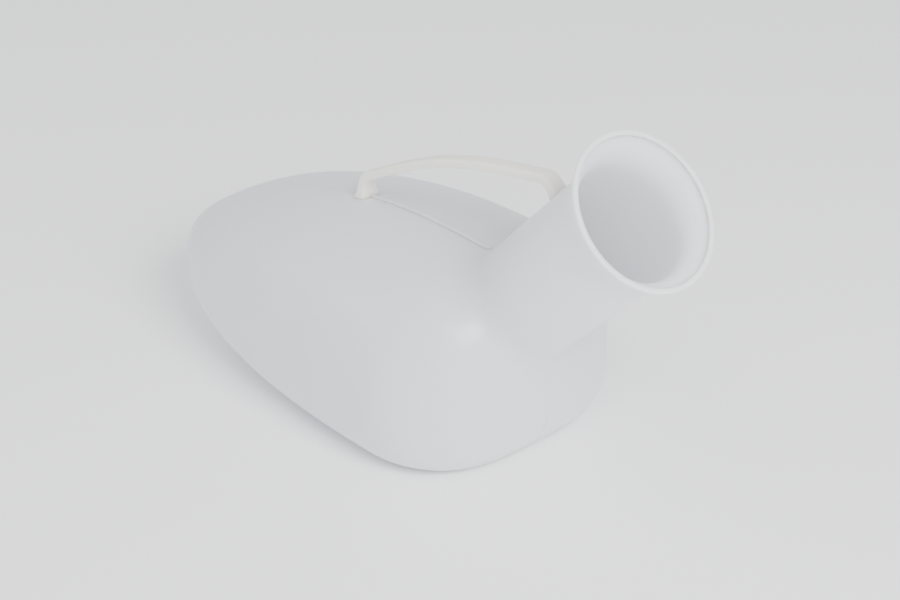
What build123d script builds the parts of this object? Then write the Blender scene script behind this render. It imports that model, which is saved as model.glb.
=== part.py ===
from build123d import *
import os
from math import cos, pi, sin

# A bed urine bottle, blow moulded in one shot of milky polyethylene: a teardrop body that lies on a
# flat base, a slanting neck that flares to an open mouth, and a strap handle from the body to the neck.
# Such a bottle is formed between two mould halves, so it is built as the two halves of its wall, the
# solid strap, the rim turned at the mouth, and the lines of weld that stand proud where the halves met.
# X runs along the bottle from the tail to the mouth, Y across it to the left, and Z up from the base.
# The origin is on the base plane, under the middle of the whole bottle.

# --- walls and welds, mm
wall = 1.4                    # thickness of the blown wall
weld_width = 1.8              # thick weld in the handle opening
weld_height = 0.9
parting_width = 0.9           # fine line along the strap

# --- body, mm; distances along X are from the tail's tip
body_length = 203.0
body_width = 122.0
body_height = 80.0
widest_x = 160.0              # where the plan is widest
ridge_x = 130.0               # where the back is highest
base_x = 160.0                # where the underside is lowest
tail_tip_z = 39.0             # heights of the two ends of the body
front_tip_z = 58.0
base_sag = 2.0                # the round underside goes this far below the base and is flattened there
flank_share = 0.37            # the flank's widest line, as a share of the section's height

# powers of the superellipses that round the body: 2 is an ellipse, more is squarer
plan_tail_power, plan_front_power = 2.55, 2.05
back_tail_power, back_front_power = 1.52, 2.6
under_tail_power, under_front_power = 2.2, 4.6
flank_upper_power, flank_lower_power = 2.6, 3.8

body_sections = 12            # stations along the body
section_points = 28           # points round each station
weld_points = 24              # points along each run of a weld

# --- neck and mouth, mm and degrees
neck_setback = 17.0           # foot of the neck's axis, back from the front of the body
neck_drop = 18.5              # and down from the top of the body
neck_length = 86.0            # from there to the middle of the mouth
neck_depth = 8.0              # the neck's tube is carried this far on into the body
neck_angle = 45.5             # rise of the neck's axis
mouth_angle = 40.0            # rise of the mouth's own axis: the mouth faces a little further forward
neck_root_radius = 23.4       # outside, where it leaves the body
neck_radius = 24.5            # outside, in the straight stretch under the flare
neck_straight = 12.0          # length of that straight stretch
neck_blend = 6.0              # fillet outside, round the foot of the neck
flare_length = 14.0           # from the end of the straight stretch to the mouth
flare_power = 2.2             # how late the flare opens
mouth_radius = 28.8           # inside the rim
flare_sections = 6

rim_overhang = 0.6            # bead beyond the outside of the flare
rim_thickness = 1.8
rim_round = 0.5

# --- strap handle, mm
strap_width = 7.0
strap_thickness = 3.8
strap_corner = 1.0
strap_ridge = 0.3             # the parting line along the strap stands proud by this
handle_foot_x = 95.5          # middle of the foot on the back of the body
foot_rise = 8.5               # corner of the strap above the body there
foot_bend = 7.0
neck_foot_gap = 35.5          # foot on the neck, back from the mouth along the neck
neck_foot_rise = 7.5          # corner of the strap above the neck there
neck_bend = 6.0
handle_crown = 8.5            # bow of the strap above the straight line between its corners
crown_bend = 200.0
foot_flare = 1.3              # pad round the foot on the body
flare_height = 4.0
foot_sink = 5.0               # the strap is drawn this far into what it stands on, then trimmed

big = 600.0


def bulge(x, peak, start, end, start_power, end_power):
    """Share of full size at x: 1 at the peak, and 0 at the start and the end."""
    if x < peak:
        reach, power = (peak - x) / (peak - start), start_power
    else:
        reach, power = (x - peak) / (end - peak), end_power
    return max(1 - reach ** power, 0) ** (1 / power)


UNDERSIDE, BACK = 1, 2         # places of the two heights in body_levels


def body_levels(x, inset):
    """Half width, underside and top of the body at x, for a surface set in by inset."""
    start, end = inset, body_length - inset
    tip = tail_tip_z + (front_tip_z - tail_tip_z) * x / body_length
    half = (body_width / 2 - inset) * bulge(x, widest_x, start, end, plan_tail_power, plan_front_power)
    rise = (body_height - inset - tip) * bulge(x, ridge_x, start, end, back_tail_power, back_front_power)
    drop = (tip + base_sag - inset) * bulge(x, base_x, start, end, under_tail_power, under_front_power)
    return half, tip - drop, tip + rise


def rounded(value, power):
    """Signed power of a sine or cosine, which turns a circle into a superellipse."""
    size = abs(value) ** (2 / power)
    return size if value >= 0 else -size


def body_section(x, inset):
    half, low, high = body_levels(x, inset)
    middle = low + (high - low) * flank_share
    points = []
    for k in range(section_points):
        turn = 2 * pi * k / section_points - pi / 2
        power = flank_upper_power if sin(turn) >= 0 else flank_lower_power
        reach = high - middle if sin(turn) >= 0 else middle - low
        y = half * rounded(cos(turn), power)
        z = middle + reach * rounded(sin(turn), power)
        points.append(Vector(x, y, z))
    steps = [k / section_points for k in range(section_points + 1)]
    return Face(Wire([Edge.make_spline(points, periodic=True, parameters=steps)]))


def body_solid(inset):
    """The body as one lofted solid, flattened at the base, set in by inset all round."""
    start, end = inset, body_length - inset
    tip_low, tip_high = tail_tip_z, front_tip_z
    stages = [Vertex(start, 0, tip_low)]
    for k in range(1, body_sections):
        x = start + (end - start) * (1 - cos(pi * k / body_sections)) / 2
        stages.append(body_section(x, inset))
    stages.append(Vertex(end, 0, tip_high))
    body = loft(stages)
    floor = max(inset, 0)
    return body - Pos(0, 0, floor - big / 2) * Box(big, big, big)


# --- the neck's planes: each has its middle on the neck's axis and faces the mouth
neck_foot = Vector(body_length - neck_setback, 0, body_height - neck_drop)
neck_axis = Vector(1, 0, 0).rotate(Axis.Y, -neck_angle)
mouth_axis = Vector(1, 0, 0).rotate(Axis.Y, -mouth_angle)
mouth_middle = neck_foot + neck_axis * neck_length


def plane_facing(middle, axis):
    return Plane(origin=middle, x_dir=(0, 1, 0), z_dir=axis)


rim_seat = plane_facing(mouth_middle - mouth_axis * rim_thickness, mouth_axis)


def neck_tube(inset):
    """Tapered tube, with its straight stretch, about the neck's axis."""
    bottom = plane_facing(neck_foot - neck_axis * neck_depth, neck_axis)
    taper = neck_length + neck_depth - neck_straight - flare_length
    root, top = neck_root_radius - inset, neck_radius - inset
    side = Polyline((0, 0), (root, 0), (top, taper), (top, taper + neck_straight), (0, taper + neck_straight),
                    close=True)
    profile = make_face(side)
    return bottom * Rot(90, 0, 0) * revolve(profile, Axis.Y)


def flare_solid(inset):
    """Trumpet from the straight stretch to the rim, turning a little forward as it opens."""
    start = mouth_middle - neck_axis * flare_length
    rings = []
    for k in range(flare_sections):
        share = k / (flare_sections - 1)
        turn = neck_angle + (mouth_angle - neck_angle) * share
        axis = Vector(1, 0, 0).rotate(Axis.Y, -turn)
        middle = start + (rim_seat.origin - start) * share
        radius = neck_radius + (mouth_radius + wall - neck_radius) * share ** flare_power
        rings.append(plane_facing(middle, axis) * Circle(radius - inset))
    return loft(rings)


def on_junction(edge):
    """True for the edges where the neck's tube comes out of the body."""
    reach = edge @ 0.5 - neck_foot
    along = reach.dot(neck_axis)
    off_axis = (reach - neck_axis * along).length
    near_tube = abs(off_axis - neck_root_radius) < 2 * wall
    return near_tube and along < neck_length / 2 and abs(reach.Y) > wall


def half_bottle(inset, side):
    """One half of the bottle as a solid, set in by inset: side is 1 for the left half, -1 for the right."""
    half_space = Pos(0, side * big / 2, 0) * Box(big, big, big)
    half = (body_solid(inset) & half_space) + (neck_tube(inset) & half_space)
    half = half + (flare_solid(inset) & half_space)
    return fillet(half.edges().filter_by(on_junction), neck_blend + inset)


# --- the two halves of the wall
left_outside = half_bottle(0, 1)
right_outside = half_bottle(0, -1)
left_shell = left_outside - half_bottle(wall, 1)
right_shell = right_outside - half_bottle(wall, -1)

# --- rim: a bead that stands a little proud of the flare, rounded all round
lip_inner, lip_outer = mouth_radius, mouth_radius + wall + rim_overhang
lip_middle = (lip_inner + lip_outer) / 2
lip_section = RectangleRounded(lip_outer - lip_inner, rim_thickness, rim_round)
lip_place = rim_seat * Rot(90, 0, 0) * Pos(lip_middle, rim_thickness / 2)
mouth_rim = revolve(lip_place * lip_section, Axis(rim_seat.origin, mouth_axis))

# --- strap handle: a rounded strap with the mould's fine line along both its faces
back_z = body_levels(handle_foot_x, 0)[2]
neck_out = Vector(0, 0, 1).rotate(Axis.Y, -neck_angle)
tube_taper = (neck_radius - neck_root_radius) / (neck_length + neck_depth - neck_straight - flare_length)
strap_lands = neck_radius - tube_taper * (neck_foot_gap - neck_straight - flare_length)
neck_landing = mouth_middle - neck_axis * neck_foot_gap + neck_out * strap_lands
neck_corner = neck_landing + neck_out * neck_foot_rise
foot_corner = Vector(handle_foot_x, 0, back_z + foot_rise)
between = neck_corner - foot_corner
upward = Vector(-between.Z, 0, between.X).normalized()
crown = (foot_corner + neck_corner) / 2 + upward * handle_crown
strap_points = [
    Vector(handle_foot_x, 0, back_z - foot_sink),
    foot_corner,
    crown,
    neck_corner,
    neck_landing - neck_out * foot_sink,
]
strap_line = FilletPolyline(*strap_points, radius=(foot_bend, crown_bend, neck_bend))
ridge = RectangleRounded(parting_width, strap_thickness + 2 * strap_ridge, strap_ridge)
strap_sketch = RectangleRounded(strap_width, strap_thickness, strap_corner) + ridge
strap_start = Plane(origin=strap_points[0], x_dir=(0, 1, 0), z_dir=(0, 0, 1))
strap = sweep(strap_start * strap_sketch, path=strap_line)
pad_size = (strap_width + 2 * foot_flare, strap_thickness + 2 * foot_flare)
pad_low = strap_start * RectangleRounded(*pad_size, strap_corner + foot_flare / 2)
pad_high = Pos(0, 0, foot_sink + flare_height) * strap_start
pad_top = pad_high * RectangleRounded(strap_width, strap_thickness, strap_corner)
carry_handle = strap + loft([pad_low, pad_top]) - left_outside - right_outside

# --- line of weld along the middle, where the mould pinched the handle's opening

def run_to_tip(inset, start_x, tip_x, level):
    """Points of the body's middle section from start_x out to a tip, closer together towards the tip."""
    shares = [sin(pi / 2 * k / weld_points) for k in range(weld_points + 1)]
    xs = [start_x + (tip_x - start_x) * share for share in shares]
    return [Vector(x, 0, body_levels(x, inset)[level]) for x in xs]


def opening_outline(inset):
    return run_to_tip(inset, handle_foot_x, body_length - inset, BACK)


def weld_line(width, height, outline):
    """A strip that stands proud of the body by height all along an outline of its middle section."""
    crest = Spline(*outline(-height))
    root = Spline(*outline(wall / 2))
    section = Face(Wire([crest, Line(crest @ 1, root @ 1), root, Line(root @ 0, crest @ 0)]))
    strip = extrude(section, width / 2, both=True) & Pos(0, 0, big / 2) * Box(big, big, big)
    return strip - left_outside - right_outside - carry_handle


pinch_off_weld = weld_line(weld_width, weld_height, opening_outline)

pieces = {
    "left_shell": left_shell,
    "right_shell": right_shell,
    "mouth_rim": mouth_rim,
    "carry_handle": carry_handle,
    "pinch_off_weld": pinch_off_weld,
}

# --- origin under the middle of the whole bottle, on its base
tail_x = min(piece.bounding_box().min.X for piece in pieces.values())
mouth_x = max(piece.bounding_box().max.X for piece in pieces.values())
to_origin = Pos(-(tail_x + mouth_x) / 2, 0, 0)

os.makedirs("parts", exist_ok=True)
for name, piece in pieces.items():
    print(name, len(piece.solids()), "solid, volume", round(piece.volume, 1))
    export_step(to_origin * piece, "parts/" + name + ".step")
print("origin is", round((tail_x + mouth_x) / 2, 2), "mm from the tail's tip")
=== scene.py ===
# %% [markdown]
# # A bed urine bottle
# The real bottle is blown from one soft tube of milky polyethylene that two mould halves close on, so
# everything on it follows from that: a thin wall, a satin skin, a line where the halves met, a thick
# weld where they pinched the handle's opening, and a solid strap. The CAD model gives the sizes. Here
# each piece is modelled again with a finer surface, and given its finish.

# %% Load the CAD model, which is the frame that every piece is built around
import math

import bmesh
import bpy
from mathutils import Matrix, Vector


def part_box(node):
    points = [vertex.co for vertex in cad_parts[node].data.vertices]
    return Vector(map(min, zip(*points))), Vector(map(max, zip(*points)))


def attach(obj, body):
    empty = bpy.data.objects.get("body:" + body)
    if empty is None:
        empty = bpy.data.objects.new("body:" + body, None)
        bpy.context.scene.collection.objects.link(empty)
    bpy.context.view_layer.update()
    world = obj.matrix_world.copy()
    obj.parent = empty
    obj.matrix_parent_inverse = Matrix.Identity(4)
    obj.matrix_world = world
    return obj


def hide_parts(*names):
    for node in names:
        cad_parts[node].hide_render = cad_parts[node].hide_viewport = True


# operators keep no undo steps, which makes a script of many operators far faster
bpy.context.preferences.edit.use_global_undo = False
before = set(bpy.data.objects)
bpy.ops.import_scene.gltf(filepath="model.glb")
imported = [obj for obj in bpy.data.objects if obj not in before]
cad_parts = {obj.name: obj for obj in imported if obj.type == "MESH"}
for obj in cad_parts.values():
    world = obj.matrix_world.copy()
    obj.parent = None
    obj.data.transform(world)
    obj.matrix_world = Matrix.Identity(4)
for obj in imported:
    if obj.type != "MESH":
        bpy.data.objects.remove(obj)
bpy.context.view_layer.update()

# %% [markdown]
# ## The sizes
# Blender works in metres and a mould maker in millimetres, so every size is written in millimetres
# and multiplied by MM. Places along the bottle are measured from the tip of its tail.

# %% Sizes of the body, the neck and the wall
MM = 0.001
tail_tip_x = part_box("left_shell")[0].x
floor_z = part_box("left_shell")[0].z
wall = 1.4 * MM

body_length, body_width, body_height = 203 * MM, 122 * MM, 80 * MM
widest_x, ridge_x, lowest_x = 160 * MM, 130 * MM, 160 * MM
tail_tip_z, front_tip_z = 39 * MM, 58 * MM
base_sag = 2 * MM
flank_share = 0.37
plan_powers = (2.55, 2.05)
back_powers = (1.52, 2.6)
underside_powers = (2.2, 4.6)
section_powers = (2.6, 3.8)

neck_angle, mouth_angle = math.radians(45.5), math.radians(40)
neck_length, neck_depth = 86 * MM, 8 * MM
neck_root_radius, neck_radius = 23.4 * MM, 24.5 * MM
neck_straight, flare_length = 12 * MM, 14 * MM
mouth_radius = 28.8 * MM
flare_power = 2.2
rim_thickness, rim_overhang = 1.8 * MM, 0.6 * MM


def from_tail(x, z):
    """A point in the middle plane, from its distance to the tail's tip and its height."""
    return Vector((tail_tip_x + x, 0, floor_z + z))


def slanted(angle):
    """The direction that rises from the bottle's length by an angle."""
    return Vector((math.cos(angle), 0, math.sin(angle)))


neck_axis, mouth_axis = slanted(neck_angle), slanted(mouth_angle)
neck_foot = from_tail(body_length - 17 * MM, body_height - 18.5 * MM)
mouth_middle = neck_foot + neck_axis * neck_length
rim_seat = mouth_middle - mouth_axis * rim_thickness
print("the mouth is", round(1000 * mouth_middle.z, 1), "mm above the floor")

# %% [markdown]
# ## Small tools
# Most of the modelling is one move repeated: a ring of edges is extruded, moved, turned and resized,
# as a modeller does with E, G, R and S. With no window open, an operator acts on whatever is
# selected, so everything is deselected before each piece.


# %% Helpers for modelling with operators
def only(piece):
    """Makes a piece the one that operators act on."""
    bpy.ops.object.select_all(action="DESELECT")
    bpy.context.view_layer.objects.active = piece
    piece.select_set(True)


def start_ring(name, points, place):
    """A ring of edges in edit mode. place gives the position of a point from its share of a turn."""
    bpy.ops.object.select_all(action="DESELECT")
    bpy.ops.mesh.primitive_circle_add(vertices=points, radius=MM)
    piece = bpy.context.object
    piece.name = name
    for index, vertex in enumerate(piece.data.vertices):
        vertex.co = place(index / points)
    bpy.ops.object.mode_set(mode="EDIT")
    bpy.ops.mesh.select_all(action="SELECT")
    return piece


def extrude_ring(move, grow, middle, tip=0):
    """Carries the selected ring on by a move, then resizes it and tips it forward about its new middle."""
    bpy.ops.mesh.extrude_region_move(TRANSFORM_OT_translate={"value": move})
    bpy.ops.transform.resize(value=grow, center_override=middle)
    # with no window, the operator turns the other way round from its value
    bpy.ops.transform.rotate(value=-tip, orient_axis="Y", center_override=middle)


def close_ends():
    """Fills every open ring, points all faces outwards, and leaves edit mode."""
    bpy.ops.mesh.select_all(action="DESELECT")
    bpy.ops.mesh.select_non_manifold()
    bpy.ops.mesh.edge_face_add()
    bpy.ops.mesh.select_all(action="SELECT")
    bpy.ops.mesh.normals_make_consistent(inside=False)
    bpy.ops.object.mode_set(mode="OBJECT")


def use_modifier(piece, kind, **settings):
    """Adds a modifier with its settings and applies it."""
    only(piece)
    modifier = piece.modifiers.new(kind.title(), kind)
    for setting, value in settings.items():
        setattr(modifier, setting, value)
    bpy.ops.object.modifier_apply(modifier=modifier.name)


def cut_away(piece, point, normal, fill):
    """Cuts off what lies beyond a plane, and closes the cut or leaves it open."""
    only(piece)
    bpy.ops.object.mode_set(mode="EDIT")
    bpy.ops.mesh.select_all(action="SELECT")
    bpy.ops.mesh.bisect(plane_co=point, plane_no=normal, use_fill=fill, clear_outer=True)
    bpy.ops.object.mode_set(mode="OBJECT")


def shade(piece, sharp_angle=40):
    """Shades smooth, except across edges sharper than an angle in degrees, and says what was made."""
    only(piece)
    bpy.ops.object.shade_smooth_by_angle(angle=math.radians(sharp_angle))
    size = [round(1000 * d, 1) for d in piece.dimensions]
    print(piece.name, "is", size, "mm with", len(piece.data.polygons), "faces")


# %% [markdown]
# ## The body
# The body is a rounded wedge: a blunt narrow tail, flat-bottomed, widest near the neck, and higher
# there too. Every section across it has the same squarish round shape, a superellipse, so one ring
# of that shape can be extruded from the tail to the front and only resized on the way. Stations
# crowd together towards the two tips, where the shape changes fastest.


# %% Sections of the body
def bulge(x, peak, powers):
    """Share of full size at x: 1 at the peak, and 0 at the two tips of the body."""
    reach = (peak - x) / peak if x < peak else (x - peak) / (body_length - peak)
    power = powers[0] if x < peak else powers[1]
    return max(1 - reach ** power, 0) ** (1 / power)


def section_size(x):
    """Half width, underside and height of the body at x."""
    tip = tail_tip_z + (front_tip_z - tail_tip_z) * x / body_length
    half = body_width / 2 * bulge(x, widest_x, plan_powers)
    top = tip + (body_height - tip) * bulge(x, ridge_x, back_powers)
    low = tip - (tip + base_sag) * bulge(x, lowest_x, underside_powers)
    return half, low, top - low


def squared(value, power):
    return math.copysign(abs(value) ** (2 / power), value)


def section_point(x, share):
    """The point of the body's section at x, a share of a turn round from its left side."""
    half, low, tall = section_size(x)
    turn = 2 * math.pi * share
    upper = math.sin(turn) >= 0
    power = section_powers[0] if upper else section_powers[1]
    reach = tall * (1 - flank_share if upper else flank_share)
    y = half * squared(math.cos(turn), power)
    z = low + tall * flank_share + reach * squared(math.sin(turn), power)
    return from_tail(x, z) + Vector((0, y, 0))


# %% Extrude the body from tail to front
stations = 40
ring_points = 96
xs = [body_length * (1 - math.cos(math.pi * k / stations)) / 2 for k in range(1, stations)]
body = start_ring("bottle_wall", ring_points, lambda share: section_point(xs[0], share))
for before, after in zip(xs, xs[1:]):
    half_0, low_0, tall_0 = section_size(before)
    half_1, low_1, tall_1 = section_size(after)
    middle_0 = from_tail(before, low_0 + tall_0 * flank_share)
    middle_1 = from_tail(after, low_1 + tall_1 * flank_share)
    extrude_ring(middle_1 - middle_0, (1, half_1 / half_0, tall_1 / tall_0), middle_1)
close_ends()
cut_away(body, (0, 0, floor_z), (0, 0, -1), fill=True)
shade(body)

# %% [markdown]
# ## The neck
# The neck is a tube that leaves the body's shoulder at a slant. It widens slightly on its way up,
# runs straight for a finger's width, and opens like a trumpet. The flare also turns a little
# forward, so that the mouth faces the patient more than the tube does.


# %% The tube and its flare
def circle_point(middle, axis, radius, share):
    """A point of a circle that faces along an axis in the middle plane."""
    across = Vector((0, 1, 0))
    turn = 2 * math.pi * share
    return middle + radius * (across * math.cos(turn) + axis.cross(across) * math.sin(turn))


middle = neck_foot - neck_axis * neck_depth
radius = neck_root_radius
taper_length = neck_length + neck_depth - neck_straight - flare_length
neck = start_ring("neck", ring_points, lambda share: circle_point(middle, neck_axis, radius, share))
tube_steps = 12
for step in range(tube_steps):
    wider = neck_root_radius + (neck_radius - neck_root_radius) * (step + 1) / tube_steps
    move = neck_axis * taper_length / tube_steps
    middle = middle + move
    extrude_ring(move, [wider / radius] * 3, middle)
    radius = wider
middle = middle + neck_axis * neck_straight
extrude_ring(neck_axis * neck_straight, (1, 1, 1), middle)

flare_steps = 10
flare_start = middle
tip_step = (neck_angle - mouth_angle) / flare_steps
for step in range(flare_steps):
    share = (step + 1) / flare_steps
    further = flare_start + (rim_seat - flare_start) * share
    wider = neck_radius + (mouth_radius + wall - neck_radius) * share ** flare_power
    extrude_ring(further - middle, [wider / radius] * 3, further, tip_step)
    middle, radius = further, wider
ring = [v.co - middle for v in bmesh.from_edit_mesh(neck.data).verts if v.select]
facing = ring[0].cross(ring[ring_points // 4]).normalized()
print("the mouth faces", round(math.degrees(math.asin(abs(facing.z))), 1), "degrees above level")
spare_end = 4 * MM
extrude_ring(mouth_axis * spare_end, (1, 1, 1), middle + mouth_axis * spare_end)
close_ends()
shade(neck)

# %% [markdown]
# ## One blown wall
# On the real bottle the neck grows out of the shoulder in a soft hollow, because it is all one sheet
# of plastic that was blown against the mould. So the two are joined and remeshed into small even
# faces, and only a band round the join is relaxed, until it is as hollow as a mould maker would
# leave it. The rest is relaxed a little too, which takes the edge off the flat base.

# %% Join the neck to the body
face_size = 1.45 * MM
use_modifier(body, "BOOLEAN", operation="UNION", solver="EXACT", object=neck)
bpy.data.objects.remove(neck)
only(body)
body.data.remesh_voxel_size = face_size
bpy.ops.object.voxel_remesh()
shade(body)


# %% Relax the join
def off_join(point):
    """Roughly how far a point of the skin is from the line where the tube leaves the body."""
    reach = point - neck_foot
    along = reach.dot(neck_axis)
    off_tube = abs((reach - neck_axis * along).length - neck_root_radius)
    x = min(max(point.x - tail_tip_x, MM), body_length - MM)
    half, low, tall = section_size(x)
    z = point.z - floor_z - low - tall * flank_share
    power = section_powers[0] if z > 0 else section_powers[1]
    reach_z = tall * (1 - flank_share if z > 0 else flank_share)
    swell = ((abs(point.y) / half) ** power + (abs(z) / reach_z) ** power) ** (1 / power)
    off_body = abs(swell - 1) * min(half, reach_z)
    return max(off_tube, off_body)


join_band = 14 * MM
join_core = 1.6
join_rounds, skin_rounds = 70, 9
join = body.vertex_groups.new(name="join")
for vertex in body.data.vertices:
    nearness = 1 - off_join(vertex.co) / join_band
    if nearness > 0:
        join.add([vertex.index], min(1, join_core * nearness), "REPLACE")
use_modifier(body, "SMOOTH", factor=0.5, iterations=join_rounds, vertex_group="join")
use_modifier(body, "SMOOTH", factor=0.5, iterations=skin_rounds)
shade(body)

# %% Open the mouth and give the wall its thickness
cut_away(body, rim_seat, mouth_axis, fill=False)
use_modifier(body, "SOLIDIFY", thickness=wall, offset=-1, use_even_offset=True, use_rim=True)
only(body)
bpy.ops.object.mode_set(mode="EDIT")
bpy.ops.mesh.select_all(action="SELECT")
bpy.ops.mesh.normals_make_consistent(inside=False)
bpy.ops.object.mode_set(mode="OBJECT")
shade(body)
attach(body, "root")
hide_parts("left_shell", "right_shell")

# %% [markdown]
# ## The rim
# The blown tube is cut off above the mould and its lip is turned over to a blunt bead, so that
# nothing sharp touches skin. A small rounded section is spun once about the axis of the mouth.

# %% Spin the rim
lip_low, lip_high = mouth_radius - 0.1 * MM, mouth_radius + wall + rim_overhang
lip_middle = (lip_low + lip_high) / 2
bead_power = 3.2


def bead_point(share):
    turn = 2 * math.pi * share
    out = Vector((0, 1, 0)).cross(mouth_axis)
    sideways = lip_middle + (lip_high - lip_low) / 2 * squared(math.cos(turn), bead_power)
    forward = rim_thickness / 2 * (1 + squared(math.sin(turn), bead_power))
    return rim_seat + out * sideways + mouth_axis * forward


rim = start_ring("rim_bead", 28, bead_point)
bpy.ops.mesh.spin(steps=180, angle=2 * math.pi, center=rim_seat, axis=mouth_axis)
bpy.ops.mesh.select_all(action="SELECT")
bpy.ops.mesh.remove_doubles(threshold=0.01 * MM)
bpy.ops.mesh.normals_make_consistent(inside=False)
bpy.ops.object.mode_set(mode="OBJECT")
shade(rim)
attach(rim, "root")
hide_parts("mouth_rim")

# %% [markdown]
# ## Sweeping along a line
# The strap and the lines of weld are all a small section carried along a line in the middle plane.
# Each step moves the ring on and turns it by as much as the line turns.


# %% Sweep a section along a line
def sweep(name, points, line, section, growth):
    """Carries a section along. section gives (across, outward) from a share of a turn, and growth gives how
    much wider and taller it is from a share of the line."""
    turns = []
    for index in range(len(line)):
        chord = line[min(index + 1, len(line) - 1)] - line[max(index - 1, 0)]
        turns.append(math.atan2(chord.z, chord.x))
    outward = Vector((-math.sin(turns[0]), 0, math.cos(turns[0])))

    def place(share):
        across, out = section(share)
        wide, tall = growth(0)
        return line[0] + Vector((0, across * wide, 0)) + outward * out * tall

    piece = start_ring(name, points, place)
    for index in range(1, len(line)):
        turn = (turns[index - 1] - turns[index] + math.pi) % (2 * math.pi) - math.pi
        wide_0, tall_0 = growth((index - 1) / (len(line) - 1))
        wide_1, tall_1 = growth(index / (len(line) - 1))
        grow = (tall_1 / tall_0, wide_1 / wide_0, tall_1 / tall_0)
        extrude_ring(line[index] - line[index - 1], grow, line[index], turn)
    close_ends()
    return piece


# %% [markdown]
# ## The strap handle
# The handle is a solid strap, squeezed flat between the mould halves, so it carries the mould's fine
# line down both its faces. It rises from the back, bends over a short radius, runs in a shallow arch
# and turns into the neck. Its foot spreads where the molten plastic flowed into the wall.

# %% The line of the strap
strap_width, strap_thickness = 7 * MM, 3.8 * MM
ridge_width, ridge_height = 0.45 * MM, 0.3 * MM
foot_x, foot_rise, foot_sink = 95.5 * MM, 8.5 * MM, 1 * MM
foot_bend, crown_bend, neck_bend = 7 * MM, 200 * MM, 6 * MM
handle_crown = 8.5 * MM
neck_foot_gap, neck_foot_rise = 35.5 * MM, 7.5 * MM

foot = section_point(foot_x, 0.25)
neck_out = Vector((-math.sin(neck_angle), 0, math.cos(neck_angle)))
tube_taper = (neck_radius - neck_root_radius) / taper_length
lands_at = neck_radius - tube_taper * (neck_foot_gap - neck_straight - flare_length)
neck_landing = mouth_middle - neck_axis * neck_foot_gap + neck_out * lands_at
foot_corner = foot + Vector((0, 0, foot_rise))
neck_corner = neck_landing + neck_out * neck_foot_rise
between = neck_corner - foot_corner
crown = (foot_corner + neck_corner) / 2 + Vector((-between.z, 0, between.x)).normalized() * handle_crown


def rounded_line(corners, bends, gap):
    """Points along straight runs and round the bends between them, a gap apart."""
    line = [corners[0]]
    for before, corner, after, bend in zip(corners, corners[1:], corners[2:], bends):
        back, on = (before - corner).normalized(), (after - corner).normalized()
        half_angle = back.angle(on) / 2
        run = bend / math.tan(half_angle)
        centre = corner + (back + on).normalized() * bend / math.sin(half_angle)
        start, end = corner + back * run - centre, corner + on * run - centre
        steps = max(5, round(start.angle(end) * bend / gap))
        line += [centre + start.slerp(end, step / steps) * bend for step in range(steps + 1)]
    line.append(corners[-1])
    spread = [line[0]]
    for point in line[1:]:
        pieces = max(1, round((point - spread[-1]).length / gap))
        start = spread[-1]
        spread += [start.lerp(point, (k + 1) / pieces) for k in range(pieces)]
    return spread


strap_line = rounded_line(
    [foot - Vector((0, 0, foot_sink)), foot_corner, crown, neck_corner, neck_landing - neck_out * foot_sink],
    [foot_bend, crown_bend, neck_bend], 2 * MM)
strap_length = sum((b - a).length for a, b in zip(strap_line, strap_line[1:])) / MM
print("the strap is", round(strap_length), "mm long")


# %% Sweep the strap
def strap_section(share):
    turn = 2 * math.pi * share
    across = strap_width / 2 * squared(math.cos(turn), 7)
    out = strap_thickness / 2 * squared(math.sin(turn), 7)
    ridge = ridge_height * math.exp(-(across / ridge_width) ** 2)
    return across, out + math.copysign(ridge, out)


def strap_growth(share):
    """The strap spreads at its foot, and a little where it meets the neck."""
    from_foot, from_neck = share * strap_length, (1 - share) * strap_length
    wide = 1 + 0.55 * math.exp(-(from_foot / 3.2) ** 2) + 0.22 * math.exp(-(from_neck / 2.4) ** 2)
    tall = 1 + 0.75 * math.exp(-(from_foot / 3.2) ** 2) + 0.35 * math.exp(-(from_neck / 2.4) ** 2)
    return wide, tall


handle = sweep("strap_handle", 72, strap_line, strap_section, strap_growth)
shade(handle, 50)
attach(handle, "root")
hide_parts("carry_handle")

# %% [markdown]
# ## The lines of weld
# Where the mould pinched the tube shut inside the handle's opening it left a thick, slightly uneven
# bead. Elsewhere the two halves of the mould only met, which leaves a line that is barely raised.
# The lines are laid on the wall as it is after relaxing, found by looking in from outside.


# %% Lay the lines on the wall
def on_wall(point):
    """Where a line from outside, through a point of the middle section, meets the wall."""
    inside = from_tail(min(max(point.x - tail_tip_x, 20 * MM), 170 * MM), 38 * MM)
    look = (inside - point).normalized()
    hit, place, _, _ = body.ray_cast(point - look * 30 * MM, look)
    return place if hit else point


def weld_line(name, shares_and_xs, width, height, waver, node):
    """A low bead along points given as (share of a turn, distance from the tail)."""
    line = [on_wall(section_point(x, share)) for share, x in shares_and_xs]
    uneven = lambda share: 1 + waver * math.sin(41 * share) * math.sin(17 * share + 1)

    def section(share):
        turn = 2 * math.pi * share
        return width / 2 * math.cos(turn), height * math.sin(turn)

    bead = sweep(name, 20, line, section, lambda share: (uneven(share), uneven(share + 0.3)))
    shade(bead, 60)
    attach(bead, "root")
    if node:
        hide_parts(node)
    return bead


def spaced(start, end, steps):
    """Distances from start to a tip of the body, closer together towards the tip."""
    return [start + (end - start) * math.sin(math.pi / 2 * k / steps) for k in range(steps + 1)]


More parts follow.
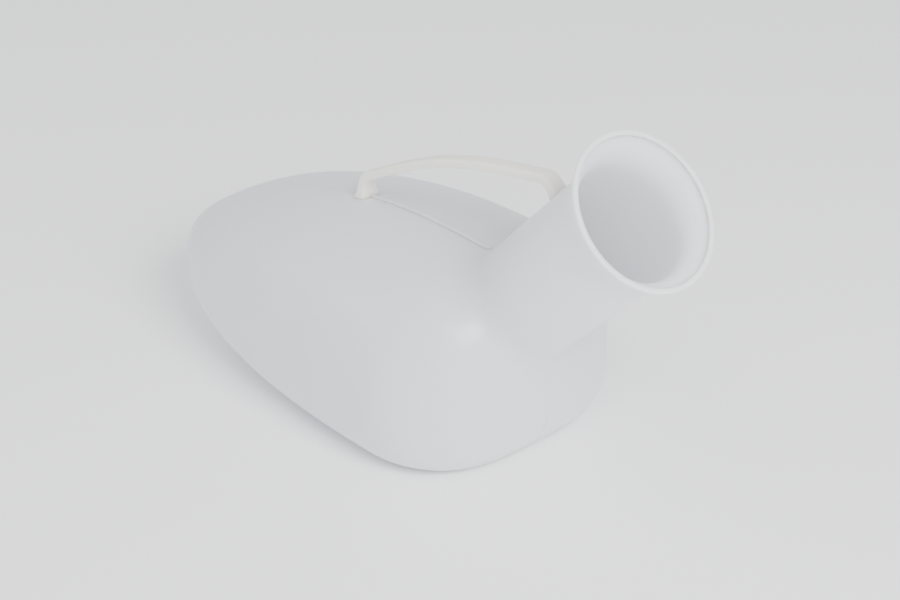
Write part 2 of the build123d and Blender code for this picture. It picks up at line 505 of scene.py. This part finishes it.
weld_start, weld_end = 97.5 * MM, 168 * MM
weld_steps = 36
weld_xs = [weld_start + (weld_end - weld_start) * k / weld_steps for k in range(weld_steps + 1)]
pinch_run = [(0.25, x) for x in weld_xs]
pinch_weld = weld_line("pinch_weld", pinch_run, 1.8 * MM, 0.8 * MM, 0.16, "pinch_off_weld")
tail_run = [(0.25, x) for x in spaced(foot_x, 0.05 * MM, 30)]
tail_run += [(0.75, x) for x in spaced(120 * MM, 0.05 * MM, 30)[-2:12:-1]]
tail_line = weld_line("tail_line", tail_run, 0.9 * MM, 0.14 * MM, 0, None)
front_run = [(0.75, x) for x in spaced(190 * MM, 202.2 * MM, 14)]
front_line = weld_line("front_line", front_run, 0.9 * MM, 0.14 * MM, 0, None)

# %% [markdown]
# ## The plastic
# All of it is one natural polyethylene with no dye. It is milky because it is half crystal, so light
# goes in, scatters for some millimetres and comes out. A thin wall looks faintly blue-grey, and thick
# plastic looks whiter and warmer. The lip is painted whiter still: partly the tone of its solid bead,
# partly painted light shining through the rim. The mould was finely blasted, which leaves a satin skin.


# %% Tools for materials
def to_linear(code):
    """A colour from its sRGB hex code, as Blender's linear values."""
    channels = [int(code[k:k + 2], 16) / 255 for k in (0, 2, 4)]
    return [c / 12.92 if c <= 0.04045 else ((c + 0.055) / 1.055) ** 2.4 for c in channels] + [1]


def add(tree, kind, settings=None, **values):
    """Adds a node, with its settings and the values or links of its inputs."""
    node = tree.nodes.new(kind)
    for setting, value in (settings or {}).items():
        setattr(node, setting, value)
    for key, value in values.items():
        socket = node.inputs[int(key[1:])] if key[1:].isdigit() else node.inputs[key.replace("_", " ")]
        if isinstance(value, bpy.types.NodeSocket):
            tree.links.new(value, socket)
        else:
            socket.default_value = value
    return node


def milky_plastic(name, thin, thick, thickness=None, roughness=0.36, peel=0.03):
    """Satin polyethylene. thin and thick are its colours, and thickness builds a mask between them."""
    material = bpy.data.materials.new(name)
    material.use_nodes = True
    tree = material.node_tree
    shader = tree.nodes["Principled BSDF"]
    place = add(tree, "ShaderNodeTexCoord").outputs["Object"]

    # blown walls vary slowly in thickness, over a few centimetres
    drift = add(tree, "ShaderNodeTexNoise", Vector=place, Scale=1 / 0.045, Detail=2.0, Roughness=0.4)
    amount = add(tree, "ShaderNodeMapRange", i0=drift.outputs["Fac"], i1=0.35, i2=0.65, i3=0.0, i4=0.35)
    mask = amount.outputs[0]
    if thickness:
        thicker = thickness(tree, place)
        mask = add(tree, "ShaderNodeMath", {"operation": "MAXIMUM"}, i0=mask, i1=thicker).outputs[0]
    colour = add(tree, "ShaderNodeMix", {"data_type": "RGBA"}, i0=mask, i6=to_linear(thin),
                 i7=to_linear(thick))
    tree.links.new(colour.outputs[2], shader.inputs["Base Color"])

    # the skin: fine blasting from the mould, and slow ripples where the wall cooled
    grain = add(tree, "ShaderNodeTexNoise", Vector=place, Scale=1 / 0.0012, Detail=2.0)
    ripple = add(tree, "ShaderNodeTexNoise", Vector=place, Scale=1 / 0.014, Detail=1.0)
    ripples = add(tree, "ShaderNodeBump", Strength=1.0, Distance=0.00012, Height=ripple.outputs["Fac"])
    skin = add(tree, "ShaderNodeBump", Strength=1.0, Distance=peel * MM, Height=grain.outputs["Fac"],
               Normal=ripples.outputs["Normal"])
    tree.links.new(skin.outputs["Normal"], shader.inputs["Normal"])
    gloss = add(tree, "ShaderNodeMapRange", i0=drift.outputs["Fac"], i1=0.3, i2=0.7, i3=roughness - 0.04,
                i4=roughness + 0.05)
    tree.links.new(gloss.outputs[0], shader.inputs["Roughness"])

    shader.inputs["IOR"].default_value = 1.54
    shader.inputs["Subsurface Weight"].default_value = 1.0
    shader.inputs["Subsurface Radius"].default_value = (1.0, 0.95, 0.9)
    shader.inputs["Subsurface Scale"].default_value = 5 * MM
    return material


def near(tree, place, point, distance):
    """A mask that is 1 at a point and fades to 0 at a distance."""
    gap = add(tree, "ShaderNodeVectorMath", {"operation": "DISTANCE"}, i0=place, i1=tuple(point))
    fade = add(tree, "ShaderNodeMapRange", {"interpolation_type": "SMOOTHSTEP"}, i0=gap.outputs[1], i1=0.0,
               i2=distance, i3=1.0, i4=0.0)
    return fade.outputs[0]


# %% The plastic of each piece
def thick_wall(tree, place):
    """The wall is thicker round the feet of the strap and at the tip of the tail."""
    mask = near(tree, place, foot, 16 * MM)
    for point, distance in ((neck_landing, 12 * MM), (from_tail(0, tail_tip_z), 14 * MM)):
        other = near(tree, place, point, distance)
        mask = add(tree, "ShaderNodeMath", {"operation": "MAXIMUM"}, i0=mask, i1=other).outputs[0]
    return mask


blown = milky_plastic("blow moulded polyethylene", "E4E6EC", "F3F3F1", thick_wall)
# the lip's two colours are whiter than the wall's: partly the tone of its solid bead, partly painted light
# for the light that shines through the rim
lip = milky_plastic("trimmed polyethylene lip with painted light", "F2F3F3", "FAFAF8", roughness=0.3)
solid = milky_plastic("solid polyethylene strap", "ECE8E0", "F4F0E8", roughness=0.34)
beaded = milky_plastic("pinched polyethylene weld", "F0F0F0", "F9F8F5", roughness=0.32)
# a bead this low is only skin, and scattering inside so thin a piece would darken it
skin_only = milky_plastic("raised skin of the wall", "E4E6EC", "F3F3F1", thick_wall)
skin_only.node_tree.nodes["Principled BSDF"].inputs["Subsurface Weight"].default_value = 0.0
finishes = {body: blown, rim: lip, handle: solid, pinch_weld: beaded}
finishes.update({tail_line: skin_only, front_line: skin_only})
for piece, material in finishes.items():
    piece.data.materials.clear()
    piece.data.materials.append(material)
print("finished", len(finishes), "pieces")

# %% [markdown]
# ## Floor, light and camera
# A pale flat floor, one large soft light high on the mouth's side, a weaker one on
# the tail's side, and a bright room. Milky plastic needs light from all round to look milky.


# %% Floor and lights
def matte(name, code):
    material = bpy.data.materials.new(name)
    material.use_nodes = True
    shader = material.node_tree.nodes["Principled BSDF"]
    shader.inputs["Base Color"].default_value = to_linear(code)
    shader.inputs["Roughness"].default_value = 0.9
    return material


bpy.ops.object.select_all(action="DESELECT")
bpy.ops.mesh.primitive_plane_add(size=6, location=(0, 0, floor_z))
floor = bpy.context.object
floor.name = "floor"
floor.data.materials.append(matte("matt white paper", "FCFCFC"))


def soft_light(name, place, power, size):
    bpy.ops.object.light_add(type="AREA", location=place)
    lamp = bpy.context.object
    lamp.name = name
    lamp.data.energy = power
    lamp.data.size = size
    aim = Vector((0, 0, 0.05)) - lamp.location
    lamp.rotation_euler = aim.to_track_quat("-Z", "Y").to_euler()
    return lamp


soft_light("key light", (1.1, -0.3, 0.9), 26, 0.7)
soft_light("fill light", (-0.9, -0.9, 0.9), 6, 1.2)
world = bpy.data.worlds.new("bright room")
world.use_nodes = True
world.node_tree.nodes["Background"].inputs["Color"].default_value = to_linear("F6F8FC")
world.node_tree.nodes["Background"].inputs["Strength"].default_value = 1.15
bpy.context.scene.world = world

# %% Camera
bpy.ops.object.camera_add(location=(0.560, -0.513, 0.447))
camera = bpy.context.object
camera.data.lens = 85
camera.data.dof.use_dof = False
aim = Vector((0.0121, 0, 0.0478)) - camera.location
camera.rotation_euler = aim.to_track_quat("-Z", "Y").to_euler()
bpy.context.scene.camera = camera
